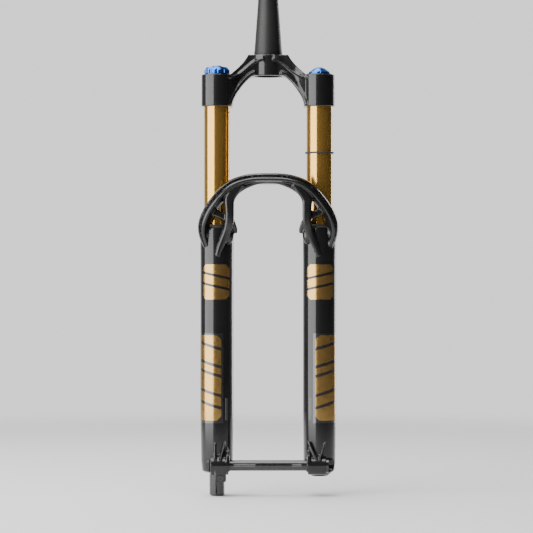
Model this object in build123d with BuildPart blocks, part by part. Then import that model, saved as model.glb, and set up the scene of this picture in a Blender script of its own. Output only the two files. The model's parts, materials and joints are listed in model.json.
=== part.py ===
from build123d import *
import math
import os

# A single-crown mountain-bike suspension fork, in millimetres.
# Origin: steerer axis at the crown race seat. +Z is up and the front of the fork faces -Y.
# The damper is on the -X side and the air spring is on the +X side.

# ---------------------------------------------------------------- driving dimensions
DAMPER = -1
AIR = 1
SIDES = (DAMPER, AIR)

TRAVEL = 150.0
LEG_X = 71.7
CROWN_OFFSET = 26.0
DROPOUT_OFFSET = 18.0
LEG_Y = -CROWN_OFFSET
AXLE_Y = LEG_Y - DROPOUT_OFFSET
AXLE_Z = -574.0

STEERER_R = 14.3
RACE_SEAT_R = 19.9
RACE_SEAT_HEIGHT = 5.0
STEERER_ROOT_R = 19.6
TAPER_TOP_Z = 76.0
STEERER_TOP_Z = 210.0
STEERER_BORE_R = 12.0
STEERER_LOWER_BORE_R = 16.0

CROWN_PLATEAU_X = 28.0
CROWN_CENTRE_BOTTOM_Z = -29.3
LOBE_R = 21.7
LOBE_TOP_Z = -28.5
LOBE_BOTTOM_Z = -73.5

STANCHION_R = 18.0
STANCHION_BORE_R = 16.2
STANCHION_TOP_Z = -30.0
STANCHION_BOTTOM_Z = -398.0

LEG_R = 23.1
LEG_FOOT_R = 22.3
LEG_BORE_R = 18.9
WIPER_SEAT_R = 21.4
WIPER_CLEAR_R = 22.9
WIPER_TOP_Z = -238.4
WIPER_RIM_Z = -242.6
WIPER_SEAT_Z = -250.0
FOAM_BOTTOM_Z = -256.0
CAVITY_FLOOR_Z = -556.0
DAMPER_LEG_BOTTOM_Z = -584.6
AIR_LEG_BOTTOM_Z = -590.0

HUB_WIDTH = 110.0
AXLE_R = 7.5
AXLE_BORE_R = 5.0
AXLE_FIT = 0.05
SLEEVE_R = 9.5
BOSS_R = 13.0
BOSS_INNER_X = 53.5
BOSS_OUTER_X = 80.5

BRAKE_POST_SPACING = 74.2
BRAKE_POST_LOW_Z = -557.0
BRAKE_POST_X = 58.0
BRAKE_HOLE_R = 2.5
BRAKE_HOLE_DEPTH = 12.0
BRAKE_POST_R = 8.0
BRAKE_FACE_Y = 2.0
BRAKE_POST_HEIGHTS = (BRAKE_POST_LOW_Z, BRAKE_POST_LOW_Z + BRAKE_POST_SPACING)

SHAFT_R = 5.0
SHAFT_BORE_R = 2.0
SLIDE_GAP = 0.06

os.makedirs("parts", exist_ok=True)


# ---------------------------------------------------------------- helpers
def finish(piece, label):
    """Label a finished piece and write its STEP file."""
    piece.part.label = label
    export_step(piece.part, f"parts/{label}.step")


def leg_section(side):
    """Plane through one leg's axis: local x is the radius, local y is height."""
    return Plane(origin=(side * LEG_X, LEG_Y, 0), x_dir=(1, 0, 0), z_dir=(0, -1, 0))


def leg_axis(side):
    return Axis((side * LEG_X, LEG_Y, 0), (0, 0, 1))


def leg_level(side, z):
    """Horizontal plane centred on one leg's axis."""
    return Plane(origin=(side * LEG_X, LEG_Y, z))


def turned(side, *outlines):
    """A piece turned about one leg's axis, from closed outlines of (radius, height) points."""
    with BuildPart() as piece:
        for outline in outlines:
            with BuildSketch(leg_section(side)):
                with BuildLine():
                    Polyline(*outline, close=True)
                make_face()
            revolve(axis=leg_axis(side))
    return piece


def turned_pair(*outlines):
    """The same turned piece on both legs, as separate solids of one group."""
    with BuildPart() as piece:
        for side in SIDES:
            for outline in outlines:
                with BuildSketch(leg_section(side)):
                    with BuildLine():
                        Polyline(*outline, close=True)
                    make_face()
                revolve(axis=leg_axis(side))
    return piece


def ring(inner, outer, bottom, top):
    """Outline of a plain ring."""
    return [(inner, bottom), (outer, bottom), (outer, top), (inner, top)]


def disc(outer, bottom, top):
    """Outline of a plain disc or rod."""
    return ring(0, outer, bottom, top)


# ---------------------------------------------------------------- steerer and crown
def make_steerer():
    outer = [
        (STEERER_LOWER_BORE_R, CROWN_CENTRE_BOTTOM_Z),
        (STEERER_ROOT_R, CROWN_CENTRE_BOTTOM_Z),
        (STEERER_ROOT_R, 0),
        (RACE_SEAT_R, 0),
        (RACE_SEAT_R, RACE_SEAT_HEIGHT),
        (RACE_SEAT_R - 0.4, RACE_SEAT_HEIGHT),
        (STEERER_R, TAPER_TOP_Z),
        (STEERER_R, STEERER_TOP_Z),
        (STEERER_BORE_R, STEERER_TOP_Z),
        (STEERER_BORE_R, TAPER_TOP_Z),
        (STEERER_LOWER_BORE_R, RACE_SEAT_HEIGHT),
    ]
    with BuildPart() as steerer:
        with BuildSketch(Plane.XZ):
            with BuildLine():
                Polyline(*outer, close=True)
            make_face()
        revolve(axis=Axis.Z)
    finish(steerer, "steerer_tube")


def make_crown():
    depth = 80.0
    boss_r = 25.0
    arm_back_r = 22.5
    arm_front = [(0, -21.5), (17.0, -21.5), (32.0, -22.6), (41.0, -24.8), (45.0, -28.2), (50.0, -33.8),
                 (55.6, -40.2)]
    shoulder = [(CROWN_PLATEAU_X, 0), (32.3, -7.1), (39.5, -15.7), (46.6, -22.8), (52.4, LOBE_TOP_Z)]
    belly = [(LEG_X - LOBE_R, LOBE_BOTTOM_Z), (48.6, -64.0), (43.5, -53.0), (36.5, -42.5),
             (27.5, -33.0), (17.0, CROWN_CENTRE_BOTTOM_Z)]
    lobe_edge = LEG_X + LOBE_R
    with BuildPart() as crown:
        for side in SIDES:
            with BuildSketch(Plane.XZ):
                with BuildLine():
                    Line((0, 0), (side * CROWN_PLATEAU_X, 0))
                    Spline(*[(side * x, z) for x, z in shoulder])
                    Polyline((side * shoulder[-1][0], LOBE_TOP_Z), (side * lobe_edge, LOBE_TOP_Z),
                             (side * lobe_edge, LOBE_BOTTOM_Z), (side * belly[0][0], LOBE_BOTTOM_Z))
                    Spline(*[(side * x, z) for x, z in belly])
                    Polyline((side * belly[-1][0], CROWN_CENTRE_BOTTOM_Z),
                             (0, CROWN_CENTRE_BOTTOM_Z), (0, 0))
                make_face()
            extrude(amount=depth, both=True)
        # plan outline: a boss round the steerer and a tapered arm to each lobe
        reach = math.hypot(LEG_X, LEG_Y)
        with BuildSketch(Plane.XY.offset(-depth)):
            Circle(boss_r)
            for side in SIDES:
                with Locations((side * LEG_X, LEG_Y)):
                    Circle(LOBE_R)
                with BuildLine():
                    Spline(*[(side * x, y) for x, y in arm_front])
                    Polyline((side * arm_front[-1][0], arm_front[-1][1]), (side * LEG_X, LEG_Y),
                             (side * (LEG_X - LEG_Y / reach * LOBE_R), LEG_Y + LEG_X / reach * LOBE_R),
                             (side * -LEG_Y / reach * arm_back_r, LEG_X / reach * arm_back_r),
                             (0, LEG_X / reach * arm_back_r), (0, arm_front[0][1]))
                make_face()
        extrude(amount=2 * depth, mode=Mode.INTERSECT)
        # bores for the steerer and the stanchions
        with BuildSketch(Plane.XY.offset(-depth)):
            Circle(STEERER_ROOT_R)
            with Locations(*[(side * LEG_X, LEG_Y) for side in SIDES]):
                Circle(STANCHION_R)
        extrude(amount=2 * depth, mode=Mode.SUBTRACT)
    finish(crown, "crown")


# ---------------------------------------------------------------- stanchions and top caps
def make_stanchions():
    tube = ring(STANCHION_BORE_R, STANCHION_R, STANCHION_BOTTOM_Z, STANCHION_TOP_Z)
    finish(turned(DAMPER, tube), "stanchion_damper")
    finish(turned(AIR, tube), "stanchion_air")


CAP_FLANGE_TOP_Z = -27.3
CAP_FLANGE_R = 17.0
SEAL_GROOVE_R = 14.6
SEAL_TOP_Z = -40.0
SEAL_BOTTOM_Z = -42.4
CAP_BOTTOM_Z = -60.0
SPIGOT_R = 2.5
KNOB_R = 17.85
KNOB_BORE_R = 5.0
KNOB_BOTTOM_Z = -27.0
KNOB_TOP_Z = -18.5
DIAL_R = 8.2
DIAL_BOTTOM_Z = -18.2
DIAL_TOP_Z = -15.7


def cap_outline(inner, spigot_top):
    """Threaded plug with an O-ring groove and a flange, down to its lower spigot."""
    thread_r = STANCHION_BORE_R
    return [
        (inner, CAP_BOTTOM_Z), (13.0, CAP_BOTTOM_Z), (13.0, -48.0), (thread_r, -48.0),
        (thread_r, SEAL_BOTTOM_Z), (SEAL_GROOVE_R, SEAL_BOTTOM_Z), (SEAL_GROOVE_R, SEAL_TOP_Z),
        (thread_r, SEAL_TOP_Z), (thread_r, STANCHION_TOP_Z), (CAP_FLANGE_R, STANCHION_TOP_Z),
        (CAP_FLANGE_R, CAP_FLANGE_TOP_Z), *spigot_top,
    ]


def make_top_caps():
    spigot = [(SPIGOT_R, CAP_FLANGE_TOP_Z), (SPIGOT_R, -19.5), (0, -19.5)]
    finish(turned(DAMPER, cap_outline(0, spigot)), "damper_top_cap")
    valve_seat = [(4.0, CAP_FLANGE_TOP_Z)]
    finish(turned(AIR, cap_outline(4.0, valve_seat)), "air_top_cap")
    finish(turned_pair(ring(SEAL_GROOVE_R, STANCHION_BORE_R, SEAL_BOTTOM_Z, SEAL_TOP_Z)),
           "top_cap_seals")


def make_compression_adjusters():
    scallops = 12
    scallop_r = 2.6
    rim_top_z = -22.8
    knob_top_r = 14.8
    with BuildPart() as knob:
        with BuildSketch(leg_section(DAMPER)):
            with BuildLine():
                Polyline((0, KNOB_BOTTOM_Z), (KNOB_R, KNOB_BOTTOM_Z), (KNOB_R, rim_top_z),
                         (knob_top_r, KNOB_TOP_Z), (0, KNOB_TOP_Z), close=True)
            make_face()
        revolve(axis=leg_axis(DAMPER))
        with BuildSketch(leg_level(DAMPER, KNOB_BOTTOM_Z)):
            with PolarLocations(KNOB_R + 1.2, scallops):
                Circle(scallop_r)
        extrude(amount=KNOB_TOP_Z - KNOB_BOTTOM_Z, mode=Mode.SUBTRACT)
        with BuildSketch(leg_level(DAMPER, KNOB_BOTTOM_Z)):
            Circle(KNOB_BORE_R)
        extrude(amount=KNOB_TOP_Z - KNOB_BOTTOM_Z, mode=Mode.SUBTRACT)
    finish(knob, "compression_knob")

    stem_r = KNOB_BORE_R - 0.1
    with BuildPart() as dial:
        with BuildSketch(leg_section(DAMPER)):
            with BuildLine():
                Polyline((0, DIAL_BOTTOM_Z), (DIAL_R, DIAL_BOTTOM_Z), (DIAL_R, -17.6),
                         (6.4, -16.4), (3.6, -15.8), (0, DIAL_TOP_Z), close=True)
            make_face()
        revolve(axis=leg_axis(DAMPER))
        with BuildSketch(leg_level(DAMPER, DIAL_BOTTOM_Z)):
            with PolarLocations(DIAL_R + 0.2, 12):
                Circle(0.9)
        extrude(amount=DIAL_TOP_Z - DIAL_BOTTOM_Z, mode=Mode.SUBTRACT)
        with BuildSketch(leg_level(DAMPER, -26.6)):
            Circle(stem_r)
        extrude(amount=DIAL_BOTTOM_Z + 26.6)
        with BuildSketch(leg_level(DAMPER, -26.6)):
            Circle(SPIGOT_R + 0.1)
        extrude(amount=7.6, mode=Mode.SUBTRACT)
        # screwdriver slot across the top
        with BuildSketch(leg_level(DAMPER, DIAL_TOP_Z)):
            Rectangle(9.0, 1.6)
        extrude(amount=-0.8, mode=Mode.SUBTRACT)
    finish(dial, "compression_dial")


def make_air_valve():
    stem_top = -21.6
    finish(turned(AIR, [(1.3, -58.0), (4.0, -58.0), (4.0, stem_top), (1.3, stem_top)]),
           "air_valve_body")
    finish(turned(AIR, disc(1.2, -57.0, -22.4)), "air_valve_pin")

    cap_r = 15.0
    cap_top_r = 4.2
    petals = 8
    with BuildPart() as cap:
        with BuildSketch(leg_section(AIR)):
            with BuildLine():
                Polyline((0, KNOB_BOTTOM_Z), (cap_r, KNOB_BOTTOM_Z), (cap_r, -25.2),
                         (cap_top_r + 4.0, -20.4), (cap_top_r, -18.6), (0, -18.5), close=True)
            make_face()
        revolve(axis=leg_axis(AIR))
        with BuildSketch(leg_level(AIR, KNOB_BOTTOM_Z)):
            with PolarLocations(cap_r + 1.0, petals):
                Circle(2.3)
        extrude(amount=6.0, mode=Mode.SUBTRACT)
        with BuildSketch(leg_level(AIR, KNOB_BOTTOM_Z)):
            Circle(4.35)
        extrude(amount=5.8, mode=Mode.SUBTRACT)
        with BuildSketch(leg_level(AIR, -18.5)):
            RegularPolygon(3.4, 6)
        extrude(amount=-1.2, mode=Mode.SUBTRACT)
    finish(cap, "air_valve_cap")


# ---------------------------------------------------------------- damper
CARTRIDGE_R = 14.5
CARTRIDGE_BORE_R = 13.0
SEAL_HEAD_TOP_Z = -386.0
SEAL_HEAD_BOTTOM_Z = -397.0
BUMPER_TOP_Z = -381.0
PISTON_BOTTOM_Z = -379.5
DAMPER_PISTON_TOP_Z = -366.5
AIR_PISTON_TOP_Z = -363.0
FLOATING_PISTON_BOTTOM_Z = -160.0
FLOATING_PISTON_TOP_Z = -148.0
SPRING_BOTTOM_Z = -147.8
SPRING_TOP_Z = -61.0
BASE_VALVE_BOTTOM_Z = -205.0
BASE_VALVE_TOP_Z = -190.0
SHAFT_BORE_FIT = SHAFT_R + SLIDE_GAP


def piston_ports(side, bottom, height, circle_r, port_r, count):
    """Ring of through ports, cut from the piece being built."""
    with BuildSketch(leg_level(side, bottom)) as section:
        with PolarLocations(circle_r, count):
            Circle(port_r)
    extrude(section.sketch, amount=height, mode=Mode.SUBTRACT)


def make_damper():
    finish(turned(DAMPER, ring(CARTRIDGE_BORE_R, CARTRIDGE_R, SEAL_HEAD_TOP_Z, CAP_BOTTOM_Z)),
           "damper_cartridge_tube")
    finish(turned(DAMPER, ring(SHAFT_BORE_FIT, STANCHION_BORE_R, SEAL_HEAD_BOTTOM_Z,
                               SEAL_HEAD_TOP_Z)), "damper_seal_head")

    with BuildPart() as base_valve:
        with BuildSketch(leg_level(DAMPER, BASE_VALVE_BOTTOM_Z)):
            Circle(CARTRIDGE_BORE_R)
        extrude(amount=BASE_VALVE_TOP_Z - BASE_VALVE_BOTTOM_Z)
        piston_ports(DAMPER, BASE_VALVE_BOTTOM_Z, 15.0, 8.0, 1.8, 6)
    finish(base_valve, "base_valve")

    slide_r = CARTRIDGE_BORE_R - SLIDE_GAP
    finish(turned(DAMPER, disc(slide_r, FLOATING_PISTON_BOTTOM_Z, FLOATING_PISTON_TOP_Z)),
           "floating_piston")

    # compression spring over the floating piston
    wire_r = 1.0
    coil_r = 9.5
    spring_height = SPRING_TOP_Z - SPRING_BOTTOM_Z - 2 * wire_r
    with BuildPart() as spring:
        with BuildLine(leg_level(DAMPER, SPRING_BOTTOM_Z + wire_r)):
            Helix(pitch=spring_height / 9, height=spring_height, radius=coil_r)
        start = Vector(DAMPER * LEG_X + coil_r, LEG_Y, SPRING_BOTTOM_Z + wire_r)
        with BuildSketch(Plane(origin=start, x_dir=(1, 0, 0), z_dir=(0, 1, 0))):
            Circle(wire_r)
        sweep(is_frenet=True)
    finish(spring, "floating_piston_spring")

    with BuildPart() as piston:
        with BuildSketch(leg_level(DAMPER, PISTON_BOTTOM_Z)):
            Circle(slide_r)
            Circle(SHAFT_R, mode=Mode.SUBTRACT)
        extrude(amount=DAMPER_PISTON_TOP_Z - PISTON_BOTTOM_Z)
        with BuildSketch(leg_level(DAMPER, -375.0)):
            Circle(slide_r)
            Circle(slide_r - 1.4, mode=Mode.SUBTRACT)
        extrude(amount=4.0, mode=Mode.SUBTRACT)
        piston_ports(DAMPER, PISTON_BOTTOM_Z, 13.0, 8.4, 1.6, 6)
    finish(piston, "damper_piston")
    finish(turned(DAMPER, ring(slide_r - 1.4, slide_r, -375.0, -371.0)), "damper_piston_ring")

    shaft = ring(SHAFT_BORE_R, SHAFT_R, -593.0, DAMPER_PISTON_TOP_Z)
    collar = ring(SHAFT_R - 0.5, 8.0, CAVITY_FLOOR_Z, -552.0)
    finish(turned(DAMPER, shaft, collar), "damper_shaft")


# ---------------------------------------------------------------- air spring
def make_air_spring():
    slide_r = STANCHION_BORE_R - SLIDE_GAP
    groove = [(13.6, -374.0), (slide_r, -374.0)]
    finish(turned(AIR, [(SHAFT_R, PISTON_BOTTOM_Z), (slide_r, PISTON_BOTTOM_Z), groove[1], groove[0],
                        (13.6, -369.0), (slide_r, -369.0), (slide_r, AIR_PISTON_TOP_Z),
                        (SHAFT_R, AIR_PISTON_TOP_Z)]), "air_piston")
    finish(turned(AIR, ring(13.6, slide_r, -374.0, -369.0)), "air_piston_seal")
    shaft = disc(SHAFT_R, -586.5, AIR_PISTON_TOP_Z)
    collar = ring(SHAFT_R - 0.5, 8.0, CAVITY_FLOOR_Z, -552.0)
    finish(turned(AIR, shaft, collar), "air_shaft")
    finish(turned(AIR, ring(SHAFT_BORE_FIT, STANCHION_BORE_R, -395.4, SEAL_HEAD_TOP_Z)),
           "air_seal_head")

    with BuildPart() as snap_ring:
        with BuildSketch(leg_level(AIR, -396.8)):
            Circle(STANCHION_BORE_R)
            Circle(14.2, mode=Mode.SUBTRACT)
            with Locations((0, -15.0)):
                Rectangle(7.0, 5.0, mode=Mode.SUBTRACT)
        extrude(amount=1.4)
    finish(snap_ring, "snap_ring")

    finish(turned_pair(ring(SHAFT_R + 0.5, 9.0, SEAL_HEAD_TOP_Z, BUMPER_TOP_Z)), "top_out_bumpers")
    finish(turned_pair(ring(9.0, 15.5, CAVITY_FLOOR_Z, -550.0)), "bottom_out_bumpers")

    # two spacers that hang from the air cap
    spacer_height = 18.0
    with BuildPart() as spacers:
        for index in range(2):
            with BuildSketch(leg_level(AIR, CAP_BOTTOM_Z - 0.2 - (index + 1) * (spacer_height + 0.2))):
                Circle(13.5)
                with PolarLocations(13.5, 8):
                    Circle(1.8, mode=Mode.SUBTRACT)
            extrude(amount=spacer_height)
    finish(spacers, "volume_spacers")


# ---------------------------------------------------------------- seals, bushings and fasteners
def make_seals():
    lip = 0.15
    wiper = [
        (STANCHION_R + lip, WIPER_TOP_Z), (19.6, WIPER_TOP_Z), (22.4, -240.4), (22.4, WIPER_RIM_Z),
        (WIPER_SEAT_R, WIPER_RIM_Z), (WIPER_SEAT_R, WIPER_SEAT_Z), (19.4, WIPER_SEAT_Z),
        (19.4, -245.0), (STANCHION_R + lip, -243.0),
    ]
    finish(turned_pair(wiper), "wiper_seals")

    with BuildPart() as springs:
        for side in SIDES:
            with BuildSketch(leg_section(side)):
                with Locations((18.75, -246.6)):
                    Circle(0.6)
            revolve(axis=leg_axis(side))
    finish(springs, "garter_springs")

    finish(turned_pair(ring(STANCHION_R + 0.3, WIPER_SEAT_R, FOAM_BOTTOM_Z, WIPER_SEAT_Z)),
           "foam_rings")
    bush_r = STANCHION_R + SLIDE_GAP
    finish(turned_pair(ring(bush_r, LEG_BORE_R, -278.0, -259.0),
                       ring(bush_r, LEG_BORE_R, -395.0, -374.0)), "bushings")

    with BuildPart() as travel_ring:
        with BuildSketch(leg_section(AIR)):
            with Locations((STANCHION_R + 1.2 + 0.05, -138.0)):
                Circle(1.2)
        revolve(axis=leg_axis(AIR))
    finish(travel_ring, "travel_ring")


AIR_NUT_SEAT_Z = -581.0
WASHER_THICKNESS = 1.2
NUT_HEIGHT = 5.0


def make_foot_fasteners():
    with BuildPart() as washers:
        for side, top in ((DAMPER, DAMPER_LEG_BOTTOM_Z), (AIR, AIR_NUT_SEAT_Z)):
            with BuildSketch(leg_level(side, top - WASHER_THICKNESS)):
                Circle(8.0)
                Circle(SHAFT_R, mode=Mode.SUBTRACT)
            extrude(amount=WASHER_THICKNESS)
    finish(washers, "crush_washers")

    for side, seat, label in ((DAMPER, DAMPER_LEG_BOTTOM_Z, "damper_foot_nut"),
                              (AIR, AIR_NUT_SEAT_Z, "air_foot_nut")):
        with BuildPart() as nut:
            with BuildSketch(leg_level(side, seat - WASHER_THICKNESS - NUT_HEIGHT)):
                RegularPolygon(8.0, 6)
                Circle(SHAFT_R, mode=Mode.SUBTRACT)
            extrude(amount=NUT_HEIGHT)
        finish(nut, label)


# ---------------------------------------------------------------- rebound adjusters
COVER_R = 10.6
COVER_BORE_R = 9.3
COVER_TOP_Z = -585.0
COVER_BOTTOM_Z = -616.9


def make_rebound():
    finish(turned(DAMPER, disc(SHAFT_BORE_R - 0.4, -596.0, -392.0)), "rebound_rod")

    low_stem_r = 2.6
    with BuildPart() as low:
        with BuildSketch(leg_level(DAMPER, -608.0)):
            Circle(5.2)
            with PolarLocations(5.2, 10):
                Circle(0.6, mode=Mode.SUBTRACT)
        extrude(amount=5.0)
        with BuildSketch(leg_level(DAMPER, -603.0)):
            Circle(low_stem_r)
        extrude(amount=7.0)
    finish(low, "rebound_knob_low")

    with BuildPart() as high:
        with BuildSketch(leg_level(DAMPER, -602.6)):
            Circle(7.8)
            with PolarLocations(7.8, 14):
                Circle(0.7, mode=Mode.SUBTRACT)
            Circle(low_stem_r + 0.1, mode=Mode.SUBTRACT)
        extrude(amount=6.0)
    finish(high, "rebound_knob_high")

    slot_width = 1.4
    with BuildPart() as cover:
        with BuildSketch(leg_section(DAMPER)):
            with BuildLine():
                Polyline((COVER_BORE_R, COVER_TOP_Z), (COVER_R, COVER_TOP_Z),
                         (COVER_R, COVER_BOTTOM_Z + 1.5), (COVER_R - 1.5, COVER_BOTTOM_Z),
                         (0, COVER_BOTTOM_Z), (0, COVER_BOTTOM_Z + 2.0),
                         (COVER_BORE_R, COVER_BOTTOM_Z + 2.0), close=True)
            make_face()
        revolve(axis=leg_axis(DAMPER))
        # drain slot down the front
        with BuildSketch(leg_level(DAMPER, COVER_BOTTOM_Z - 1)):
            with Locations((-0.6, -COVER_R)):
                Rectangle(slot_width, 8.0)
        extrude(amount=27.0, mode=Mode.SUBTRACT)
    finish(cover, "rebound_cover")


# ---------------------------------------------------------------- axle
AXLE_HEAD_X = 77.0
AXLE_END_X = 84.0
AXLE_HEAD_R = 10.0
SLEEVE_OUTER_X = 80.0
PINCH_X = -66.0
PINCH_Z = -591.0
PINCH_R = 2.5
CLAMP_FRONT_Y = -56.5
CLAMP_BACK_Y = -37.8


def make_axle():
    across = Plane(origin=(0, AXLE_Y, AXLE_Z), z_dir=(1, 0, 0))
    with BuildPart() as axle:
        with BuildSketch(across.offset(-79.5)):
            Circle(AXLE_R)
        extrude(amount=79.5 + AXLE_HEAD_X)
        with BuildSketch(across.offset(AXLE_HEAD_X)):
            Circle(AXLE_HEAD_R)
        extrude(amount=AXLE_END_X - AXLE_HEAD_X)
        with BuildSketch(across.offset(-80.0)):
            Circle(AXLE_BORE_R)
        extrude(amount=150.0, mode=Mode.SUBTRACT)
        with BuildSketch(across.offset(AXLE_END_X)):
            RegularPolygon(3.5, 6)
        extrude(amount=-20.0, mode=Mode.SUBTRACT)
    finish(axle, "thru_axle")

    with BuildPart() as sleeve:
        with BuildSketch(across.offset(-SLEEVE_OUTER_X)):
            Circle(SLEEVE_R)
            Circle(AXLE_R + AXLE_FIT, mode=Mode.SUBTRACT)
        extrude(amount=SLEEVE_OUTER_X - HUB_WIDTH / 2)
    finish(sleeve, "axle_sleeve")

    with BuildPart() as bolt:
        with BuildSketch(Plane(origin=(PINCH_X, CLAMP_FRONT_Y, PINCH_Z), z_dir=(0, 1, 0))):
            Circle(PINCH_R)
        extrude(amount=CLAMP_BACK_Y - CLAMP_FRONT_Y)
        with BuildSketch(Plane(origin=(PINCH_X, CLAMP_FRONT_Y, PINCH_Z), z_dir=(0, -1, 0))):
            Circle(4.1)
        extrude(amount=4.6)
        with BuildSketch(Plane(origin=(PINCH_X, CLAMP_FRONT_Y - 4.6, PINCH_Z), z_dir=(0, 1, 0))):
            RegularPolygon(2.3, 6)
        extrude(amount=3.0, mode=Mode.SUBTRACT)
    finish(bolt, "pinch_bolt")


# ---------------------------------------------------------------- bleeder buttons
BLEEDER_Z = -300.0
BLEEDER_FACE_Y = LEG_Y + 27.5
BLEEDER_R = 3.4
BLEEDER_BOSS_R = 6.0
BLEEDER_POCKET_R = 3.75
BLEEDER_POCKET_DEPTH = 4.0
BLEEDER_PROUD = 1.6
BLEEDER_LENGTH = 3.6


def bleeder_face(side, proud):
    """Plane at the back of a leg, a little proud of its bleeder boss, facing the leg."""
    return Plane(origin=(side * LEG_X, BLEEDER_FACE_Y + proud, BLEEDER_Z), z_dir=(0, -1, 0))


def make_bleeders():
    for side, label in ((DAMPER, "damper"), (AIR, "air")):
        face = bleeder_face(side, BLEEDER_PROUD)
        with BuildPart() as button:
            with BuildSketch(face):
                Circle(BLEEDER_R)
            extrude(amount=BLEEDER_LENGTH)
            with BuildSketch(face):
                Circle(BLEEDER_R - 1.0)
            extrude(amount=0.5, mode=Mode.SUBTRACT)
        finish(button, f"bleeder_button_{label}")


# ---------------------------------------------------------------- lower casting
def arch_outline(side):
    """Half of the arch as seen from the front, from its middle down to the front of one leg."""
    crest = [(0, -168.0), (32.5, -169.7), (54.0, -177.0), (67.0, -188.7), (86.0, -210.7),
             (95.0, -225.0), (99.4, -242.0)]
    foot = [(99.4, -242.0), (94.6, -262.0), (72.0, -284.0), (52.0, -262.0), (42.6, -246.0)]
    inside = [(42.6, -246.0), (46.4, -230.0), (46.2, -204.0)]
    underside = [(46.2, -204.0), (38.0, -192.0), (22.0, -184.5), (0, -181.5)]
    with BuildLine() as outline:
        Spline(*[(side * x, z) for x, z in crest], tangents=((side, 0), (0, -1)))
        Polyline(*[(side * x, z) for x, z in foot])
        Polyline(*[(side * x, z) for x, z in inside])
        Spline(*[(side * x, z) for x, z in underside])
        Line((0, underside[-1][1]), (0, crest[0][1]))
    make_face(outline.edges())


def window_outline(side):
    """Opening between the inner strut and the outer sweep of the arch, over the wiper seal."""
    strut_edge = 61.0 if side == DAMPER else 55.0
    points = [(strut_edge + 2.0, -207.5), (72.0, -215.7), (77.5, -229.0), (84.0, WIPER_TOP_Z - 1),
              (strut_edge + 0.5, WIPER_TOP_Z - 1), (strut_edge, -219.0)]
    Polygon(*[(side * x, z) for x, z in points], align=None)


ARCH_BACK_Y = -50.0
ARCH_TOP_Z = -160.0
ARCH_REACH = 110.0
# at full travel the crown comes down to this height on the lowers
CROWN_PATH_Z = LOBE_BOTTOM_Z - TRAVEL - 3.0


def make_lower_casting():
    depth = 90.0
    with BuildPart() as casting:
        # arch: its front outline, given its depth by its side outline
        for side in SIDES:
            with BuildSketch(Plane.XZ):
                arch_outline(side)
            extrude(amount=depth)
        with BuildSketch(Plane.YZ):
            with BuildLine():
                Spline((-60.5, ARCH_TOP_Z), (-66.0, -190.0), (-65.0, -222.0), (-57.5, -256.0),
                       (-48.0, -286.0))
                Polyline((-48.0, -286.0), (-16.0, -286.0), (-10.0, -262.0), (-14.0, -242.0),
                         (-36.0, CROWN_PATH_Z - 2.0), (ARCH_BACK_Y, CROWN_PATH_Z),
                         (ARCH_BACK_Y, ARCH_TOP_Z),
                         (-60.5, ARCH_TOP_Z))
            make_face()
        extrude(amount=ARCH_REACH, both=True, mode=Mode.INTERSECT)
        for side in SIDES:
            with BuildSketch(Plane.XZ):
                window_outline(side)
            extrude(amount=depth, mode=Mode.SUBTRACT)
        # the roots narrow to a collar round each leg behind the arch
        with BuildSketch(Plane.XY.offset(-300.0)):
            with Locations((0, -70.0)):
                Rectangle(2 * ARCH_REACH, 44.0)
            with Locations(*[(side * LEG_X, LEG_Y) for side in SIDES]):
                Circle(28.5)
        extrude(amount=150.0, mode=Mode.INTERSECT)
        # groove that leaves two rims along the crest of the arch
        with BuildSketch(Plane.XZ.offset(75.0)):
            with BuildLine():
                Spline((-88.0, -216.5), (-66.0, -191.2), (-52.5, -179.8), (-31.5, -172.6), (0, -171.2),
                       (31.5, -172.6), (52.5, -179.8), (66.0, -191.2), (88.0, -216.5))
            trace(line_width=2.2)
        extrude(amount=-13.0, mode=Mode.SUBTRACT)
        # braces across the windows, the air-side one with a boss for a hose guide
        with BuildSketch(Plane.XZ.offset(-ARCH_BACK_Y + 1.0)):
            Polygon((-76.0, -218.0), (-78.0, -226.0), (-59.0, -233.0), (-58.0, -223.5), align=None)
            Polygon((74.0, -214.0), (77.0, -221.5), (60.0, -230.5), (52.0, -230.0), (52.0, -221.0),
                    (60.0, -219.5), align=None)
            with Locations((HOSE_BOSS_X, HOSE_BOSS_Z)):
                Circle(5.2)
        extrude(amount=6.0)
        # legs
        for side in SIDES:
            bottom = DAMPER_LEG_BOTTOM_Z if side == DAMPER else AIR_LEG_BOTTOM_Z
            foot_r = 17.0 if side == DAMPER else 11.0
            with BuildSketch(leg_section(side)):
                with BuildLine():
                    Polyline((0, WIPER_RIM_Z), (22.6, WIPER_RIM_Z), (LEG_R + 0.4, -250.0),
                             (LEG_R, -290.0), (LEG_R, -500.0), (LEG_FOOT_R, -570.0),
                             (LEG_FOOT_R - 1.3, -582.0), (foot_r, bottom), (0, bottom), close=True)
                make_face()
            revolve(axis=leg_axis(side))
            make_dropout(side)
        make_brake_posts()
        # bleeder bosses on the backs of the legs
        for side in SIDES:
            with BuildSketch(bleeder_face(side, 0)):
                Circle(BLEEDER_BOSS_R)
            extrude(amount=6.0)
        cut_leg_bores()
        cut_dropouts()
        cut_small_holes()
    finish(casting, "lower_casting")


# each rib's distance from the middle at its top and at its foot
RIB_WIDTH = 2.6
DAMPER_RIBS = ((59.3, 66.5), (73.8, 73.8))
AIR_RIBS = ((55.6, 68.0), (80.0, 71.5))


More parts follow.
